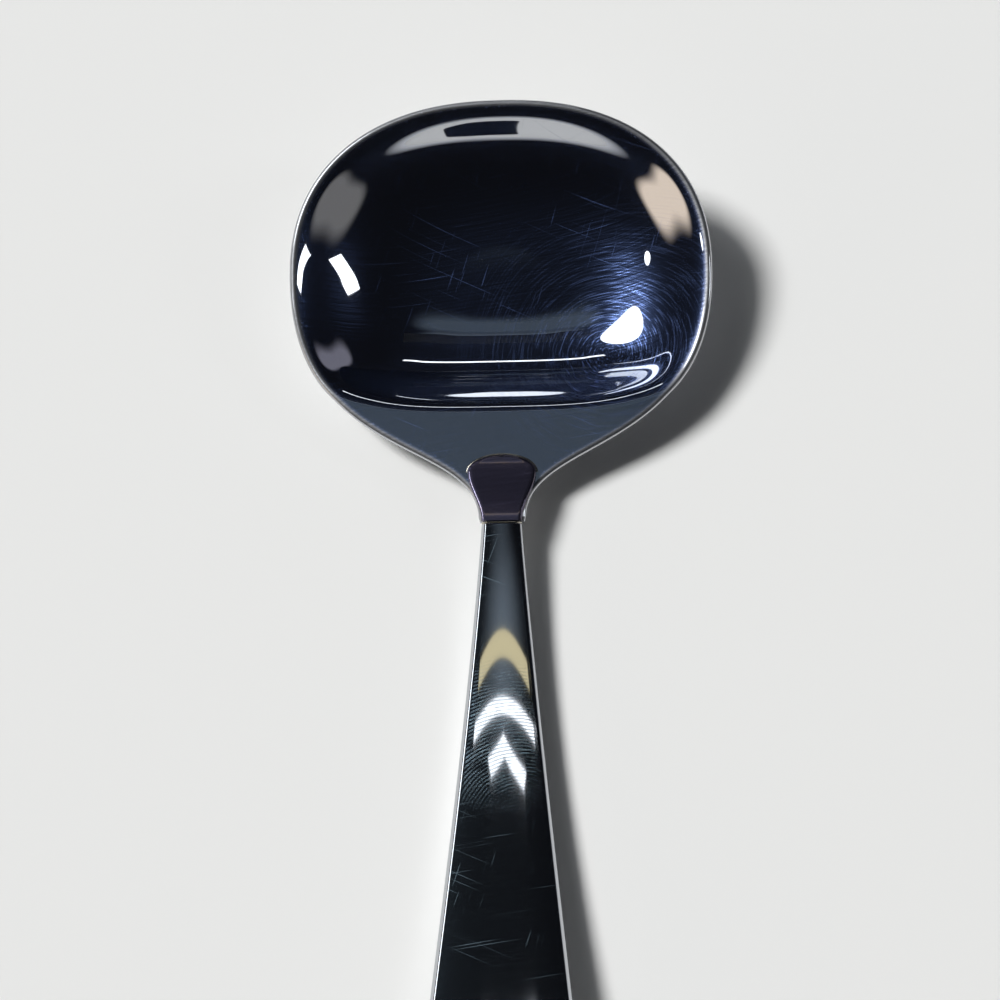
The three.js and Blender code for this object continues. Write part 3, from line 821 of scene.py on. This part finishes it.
# %% Make the fillet
BEAD_WIRE, BEAD_STEPS = 0.2, 120
bead_turn = np.linspace(-math.pi / 2, math.pi / 2, BEAD_STEPS)
bead_out = np.stack([TONGUE_TIP_ROUND * np.sin(bead_turn), TONGUE_HALF_WIDTH * np.cos(bead_turn)], -1)
bead_out /= np.linalg.norm(bead_out, axis=-1, keepdims=True)
bead_across = TONGUE_HALF_WIDTH * np.sin(bead_turn) + bead_out[:, 0] * BEAD_WIRE / 2
bead_along = TONGUE_LENGTH - TONGUE_TIP_ROUND * (1 - np.cos(bead_turn)) + bead_out[:, 1] * BEAD_WIRE / 2
bead = sweep_piece("tongue_braze_fillet", on_apron(bead_along, bead_across, BEAD_WIRE / 2),
                   False, BEAD_WIRE)

# %% [markdown]
# ## The handle
# The handle is two pressed halves, joined along their edges and polished until the seam is a hairline. The
# front is slightly crowned, with a narrow bevel along each side, which the photograph shows as bright
# strips. The back is flat. Each half is hollow, with its wall and the closed round end.

# %% Describe the handle's section
HANDLE_ROWS, END_ROWS, CROWN_COLUMNS, SIDE_ROUND = 150, 40, 26, 0.14
END_TURN = math.radians(89.3)


def handle_half_thickness(along):
    share = along / handle.length
    return (mix(MOUTH_THICKNESS, END_THICKNESS, share) + HANDLE_SWELL * np.sin(math.pi * share)) / 2


round_start = handle.length - HANDLE_END_ROUND
straight = np.linspace(0.0, round_start, HANDLE_ROWS)[:-1]
straight_width = mix(NECK_HALF_WIDTH, HANDLE_HALF_WIDTH, (straight / round_start) ** FLARE_POWER)
turn = np.linspace(0.0, END_TURN, END_ROWS)
handle_along = np.concatenate([straight, round_start + HANDLE_END_ROUND * np.sin(turn)])
handle_width = np.concatenate([straight_width, HANDLE_HALF_WIDTH * np.cos(turn)])


def half_rows(facing, bevel_size, crown_share, wall, seam):
    """Rows of one half's surface, from the right seam over the face to the left seam."""
    sections = []
    run = edge_run(handle_along, handle_width)
    for i in range(len(handle_along)):
        height = float(handle_half_thickness(handle_along[i])) - wall
        crown = crown_share * max(handle_width[i] - (wall + bevel_size) * run[i, 0], 0.0)
        corners = [(0.0, seam), (0.0, height - crown - bevel_size), (bevel_size, height - crown),
                   (bevel_size * 2, height - crown)]
        line = rounded_corners(corners, SIDE_ROUND)[:-1]
        right = [(handle_along[i] + (wall + d) * run[i, 1],
                  max(handle_width[i] - (wall + d) * run[i, 0], 0.0), h) for d, h in line]
        last_along, last_width, last_height = right[-1]
        across = np.linspace(1.0, -1.0, CROWN_COLUMNS + 1)[1:-1]
        top = [(last_along, last_width * c, last_height + crown * (1 - c * c)) for c in across]
        left = [(a, -w, h) for a, w, h in reversed(right)]
        section = [(a, w, facing * h) for a, w, h in right + top + left]
        sections.append(handle.at(*np.array(section).T))
    return np.array(sections)


print("handle section: half thickness", float(handle_half_thickness(0.0)), "mm at the mouth,",
      round(float(handle_half_thickness(handle.length / 2)), 2), "mm halfway")

# %% [markdown]
# ## The two halves
# Front and back are the same construction with another bevel and crown. An outer and an inner skin share
# their rows, so each half closes on itself at the seam, the mouth and the end.

# %% Make the two halves
def handle_half(name, facing, bevel, crown_share):
    outer = half_rows(facing, bevel, crown_share, 0.0, HAIRLINE / 2)
    inner = half_rows(facing, bevel, crown_share, HANDLE_WALL, HAIRLINE / 2)
    loops = np.concatenate([outer, inner[:, ::-1]], axis=1)
    rows, columns = loops.shape[:2]
    faces = row_faces(rows, columns)
    half = columns // 2
    last = (rows - 1) * columns
    mouth_ring = [[i, i + 1, columns - 2 - i, columns - 1 - i] for i in range(half - 1)]
    end_ring = [[last + v for v in reversed(ring)] for ring in mouth_ring]
    faces = np.concatenate([faces[:, ::-1], mouth_ring, end_ring])
    if facing < 0:
        faces = faces[:, ::-1]
    return make_piece(name, loops.reshape(-1, 3), faces)


def mark_held_face(piece, rows):
    """Gives the points of the crowned face the value 1, and those of the sides and the inside 0."""
    columns = len(piece.data.vertices) // rows
    sides = (columns // 2 - (CROWN_COLUMNS - 1)) // 2
    held = np.zeros((rows, columns))
    held[:, sides:sides + CROWN_COLUMNS - 1] = 1.0
    face = piece.data.attributes.new("held_face", "FLOAT", "POINT")
    face.data.foreach_set("value", held.ravel())
    print("held face:", int(held.sum()), "of", held.size, "points")


front_half = handle_half("handle_front_pressing", 1, FRONT_BEVEL, CROWN_SHARE)
mark_held_face(front_half, len(handle_along))
back_half = handle_half("handle_back_pressing", -1, BACK_BEVEL, 0.0)

# %% [markdown]
# ## The collar at the mouth
# Where the handle meets the neck a thin line of braze fills the joint. It follows the mouth's own section,
# so it is swept along that loop, half way between handle and shank.

# %% Make the collar at the mouth
COLLAR_WIRE, COLLAR_SINK = 0.14, 0.8
mouth_front = half_rows(1, FRONT_BEVEL, CROWN_SHARE, COLLAR_WIRE * COLLAR_SINK, 0.0)[0]
mouth_back = half_rows(-1, BACK_BEVEL, 0.0, COLLAR_WIRE * COLLAR_SINK, 0.0)[0]
heading = np.array([0.0, *neck_heading])
collar_path = np.concatenate([mouth_front, mouth_back[::-1][1:-1]]) - heading * (SHANK_STOP / 2)
collar = sweep_piece("mouth_braze_collar", collar_path, True, COLLAR_WIRE)

# %% [markdown]
# ## The pieces on the frame
# Each piece takes its finish, rides with the frame's one body and stands in for one solid. The cement stays
# as the solid itself, because it can't be seen.

# %% Dress the pieces and hang them on the frame
for piece, node, finish, slot in (
    (bowl, "bowl", bowl_steel, "polished_steel"),
    (shank, "shank", tinted_steel, "polished_steel"),
    (bead, "tongue_braze", silver_braze, "braze_alloy"),
    (collar, "mouth_braze", silver_braze, "braze_alloy"),
    (front_half, "handle_front_shell", handle_steel, "polished_steel"),
    (back_half, "handle_back_shell", handle_steel, "polished_steel"),
):
    dress(piece, finish)
    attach(piece, "root")
    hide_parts(node)
dress(frame["nodes"]["handle_filler"], resin_cement)
print("dressed:", sorted(frame["nodes"]))

# %% [markdown]
# ## Flat shapes
# The floor, the lamps and the cards are flat shapes of a single face. A few corners are all they need, so
# they are drawn as rectangles, ovals or lists of corners.

# %% Draw flat shapes
OVAL_STEPS = 32


def rectangle(middle, half):
    (a, b), (half_a, half_b) = middle, half
    return [(a - half_a, b - half_b), (a + half_a, b - half_b),
            (a + half_a, b + half_b), (a - half_a, b + half_b)]


def oval(middle, half):
    turns = np.linspace(0.0, 2 * math.pi, OVAL_STEPS, endpoint=False)
    return [(middle[0] + half[0] * math.cos(a), middle[1] + half[1] * math.sin(a)) for a in turns]


def flat_shape(name, corners, finish):
    mesh = bpy.data.meshes.new(name)
    mesh.from_pydata([tuple(c) for c in corners], [], [list(range(len(corners)))])
    shape = add_object(name, mesh)
    dress(shape, finish)
    print(name, len(corners), "corners")
    return shape


# %% [markdown]
# ## The floor
# A plain pale table, large enough to run to the horizon. It is matt, takes the ladle's soft shadow, and
# shows in the steel as a pale crescent along the far wall.

# %% Lay the floor
FLOOR_HALF = 20.0
floor_finish = new_finish("pale_table", {"Base Color": from_hex("#e6e6e4"), "Roughness": 0.9})
floor_corners = [(x, y, 0.0) for x, y in rectangle((0.0, 0.0), (FLOOR_HALF, FLOOR_HALF))]
floor = flat_shape("floor", floor_corners, floor_finish)
print("floor:", 2 * FLOOR_HALF, "m square")

# %% [markdown]
# ## The room and the key light
# The room is nearly black, as the photograph's reflections are, with a pale line at the horizon where the
# table ends. One wide, soft sun lights the table evenly. It stands where its reflection falls on the lower
# right of the basin, as the large highlight in the photograph does.

# %% Light the room
KEY_AZIMUTH, KEY_ELEVATION = math.radians(-69.0), math.radians(51.0)
KEY_ENERGY, KEY_SPREAD = 3.3, math.radians(16.0)
SKY_STOPS = ((0.0, "#d4d6da"), (0.05, "#111216"))
world = bpy.data.worlds.new("studio")
world.use_nodes = True
bpy.context.scene.world = world
sky_tree = world.node_tree
towards = add_node(sky_tree, "ShaderNodeTexCoord")
height = add_node(sky_tree, "ShaderNodeSeparateXYZ", None, {0: (towards, "Generated")})
sky = add_node(sky_tree, "ShaderNodeValToRGB", None, {"Fac": (height, "Z")}, SKY_STOPS)
sky_tree.links.new(sky.outputs["Color"], sky_tree.nodes["Background"].inputs["Color"])

to_key = direction(KEY_AZIMUTH, KEY_ELEVATION)
sun_data = bpy.data.lights.new("key", "SUN")
sun_data.energy = KEY_ENERGY
sun_data.angle = KEY_SPREAD
sun = add_object("key", sun_data)
sun.rotation_euler = to_key.to_track_quat("Z", "Y").to_euler()
print("key light:", [round(v, 3) for v in to_key], "energy", KEY_ENERGY)

# %% [markdown]
# ## One way to hang a panel
# A mirror shows its lamps, so their shapes matter more than their light. Each panel is a flat shape that
# glows. A soft one fades from its middle to nothing, as a lit patch of wall would. None of them casts a
# shadow, as if they all hung out of the key light's way.

# %% Make a glowing panel
BLACK = (0.0, 0.0, 0.0, 1.0)


def glowing_panel(name, corners, colour, strength, soft=None, plateau=1.0):
    """A lamp with these corners; soft is the middle and reach of its fade, full from plateau on."""
    finish = new_finish(name + "_glow", {
        "Base Color": BLACK, "Roughness": 1.0,
        "Emission Color": from_hex(colour), "Emission Strength": strength})
    if soft:
        middle, reach = soft
        tree = finish.node_tree
        where = add_node(tree, "ShaderNodeMapping", {"vector_type": "TEXTURE"},
                         {"Vector": (add_node(tree, "ShaderNodeTexCoord"), "Object"),
                          "Location": middle, "Scale": reach})
        rings = add_node(tree, "ShaderNodeTexGradient", {"gradient_type": "SPHERICAL"},
                         {"Vector": (where, "Vector")})
        faded = add_node(tree, "ShaderNodeMapRange", {"interpolation_type": "SMOOTHSTEP"},
                         {"Value": (rings, "Fac"), "From Max": plateau})
        tree.links.new(faded.outputs[0], tree.nodes["Principled BSDF"].inputs["Alpha"])
    shown = flat_shape(name, corners, finish)
    shown.visible_shadow = False
    return shown


# %% [markdown]
# ## The panels overhead
# The apron shows a dim grey-blue cloud. A paler glow follows, with a cream bow in it, then a white bow and
# a white chevron. The handle shows them in that order, as in the photograph. An oval softbox fills the key
# light's direction, and a strip at the back draws the line along the ridge. The outlines are given as seen
# from the ladle, in millimetres for each metre of height. A small black flag hangs close above the ladle
# and keeps the bows out of the basin, where they would repeat as stray lines. Flag and strip are in metres.

# %% Hang the panels
PANEL_HEIGHT, GLOW_HEIGHT, CLOUD_HEIGHT, FLAG_HEIGHT = 4.0, 4.1, 4.2, 0.4
BOW_STEPS, BOW_MIDDLE = 24, -44.0
DAYLIGHT, LAMP_STRENGTH = "#f6faff", 3.0
CLOUD_MIDDLE, CLOUD_REACH, CLOUD_PLATEAU = (-90.0, 25.0), (300.0, 110.0), 0.6
GLOW_MIDDLE, GLOW_REACH = (-44.0, 185.0), (230.0, 105.0)
SOFTBOX_MIDDLE, SOFTBOX_REACH = (-730.0, 345.0), (400.0, 275.0)
FLAG_MIDDLE, FLAG_HALF, BACK_Y = (-0.01, 0.1375), (0.095, 0.0345), 2.0


def overhead(outline, height):
    return [(x * MM * height, y * MM * height, height) for x, y in outline]


def soft_overhead(name, middle, reach, height, colour, strength, plateau=1.0):
    centre = overhead([middle], height)[0]
    span = (*overhead([reach], height)[0][:2], 1.0)
    corners = overhead(rectangle(middle, reach), height)
    glowing_panel(name, corners, colour, strength, (centre, span), plateau)


def bow(half_length, near, far, sag):
    """A strip that bends away at both ends, from one y to another at the middle."""
    x = np.linspace(-half_length, half_length, BOW_STEPS)
    bend = sag * (x / half_length) ** 2
    x = x + BOW_MIDDLE
    return list(zip(x, near + bend)) + list(zip(x[::-1], far + bend[::-1]))


chevron = [(-46.0, 253.0), (86.0, 279.0), (66.0, 286.0), (-40.0, 266.0), (-118.0, 278.0), (-142.0, 270.0)]
back_strip = [(0.42, BACK_Y, 1.74), (-0.73, BACK_Y, 1.74), (-0.73, BACK_Y, 1.88), (0.42, BACK_Y, 1.88)]
cream_bow = bow(half_length=190.0, near=184.0, far=204.0, sag=34.0)
white_bow = bow(half_length=195.0, near=230.0, far=241.0, sag=30.0)
soft_overhead("grey_cloud", CLOUD_MIDDLE, CLOUD_REACH, CLOUD_HEIGHT, "#c2dcf6", 0.115, CLOUD_PLATEAU)
soft_overhead("pale_glow", GLOW_MIDDLE, GLOW_REACH, GLOW_HEIGHT, "#d6ebff", 0.23)
glowing_panel("cream_bow", overhead(cream_bow, PANEL_HEIGHT), "#f0e2b4", 1.1)
glowing_panel("white_bow", overhead(white_bow, PANEL_HEIGHT), DAYLIGHT, LAMP_STRENGTH)
glowing_panel("white_chevron", overhead(chevron, PANEL_HEIGHT), DAYLIGHT, LAMP_STRENGTH)
glowing_panel("key_softbox", overhead(oval(SOFTBOX_MIDDLE, SOFTBOX_REACH), PANEL_HEIGHT),
              DAYLIGHT, LAMP_STRENGTH)
glowing_panel("back_strip", back_strip, DAYLIGHT, LAMP_STRENGTH)
flag = [(*corner, FLAG_HEIGHT) for corner in rectangle(FLAG_MIDDLE, FLAG_HALF)]
black_flag = glowing_panel("black_flag", flag, "#000000", 0.0)
black_flag.visible_camera = False

# %% [markdown]
# ## The lamps and cards at the sides
# A strip lamp and a small round lamp give the two small lights in the basin. Three dim, soft cards stand
# further out, grey, lilac and beige. They give the pale patches near the rim.

# %% Stand the lamps and cards
SIDE_LAMP_STRENGTH, STRIP_X, ROUND_X = 4.0, 1.2, -1.0
ROUND_MIDDLE, ROUND_HALF = (-0.033, 0.79), (0.05, 0.07)
RIGHT_CARD_X, LEFT_CARD_X, CARD_PLATEAU = 1.3, -1.1, 0.5


def upright(x, outline):
    return [(x, y, z) for y, z in outline]


def soft_card(name, x, middle, half, colour, strength):
    glowing_panel(name, upright(x, rectangle(middle, half)), colour, strength,
                  ((x, *middle), (1.0, *half)), CARD_PLATEAU)


strip_lamp = [(0.028, 0.473), (-0.097, 0.690), (0.039, 1.289), (0.14, 0.927)]
glowing_panel("strip_lamp", upright(STRIP_X, strip_lamp), DAYLIGHT, SIDE_LAMP_STRENGTH)
glowing_panel("round_lamp", upright(ROUND_X, oval(ROUND_MIDDLE, ROUND_HALF)), DAYLIGHT, SIDE_LAMP_STRENGTH)
soft_card("grey_card", RIGHT_CARD_X, (-0.70, 0.455), (0.65, 0.39), "#b4b2b0", 0.45)
soft_card("lilac_card", RIGHT_CARD_X, (1.35, 0.71), (0.81, 0.32), "#b6b4c6", 0.45)
soft_card("beige_card", LEFT_CARD_X, (-0.42, 0.30), (0.46, 0.26), "#e6d4c0", 1.5)
bpy.context.scene.view_settings.view_transform = "Standard"
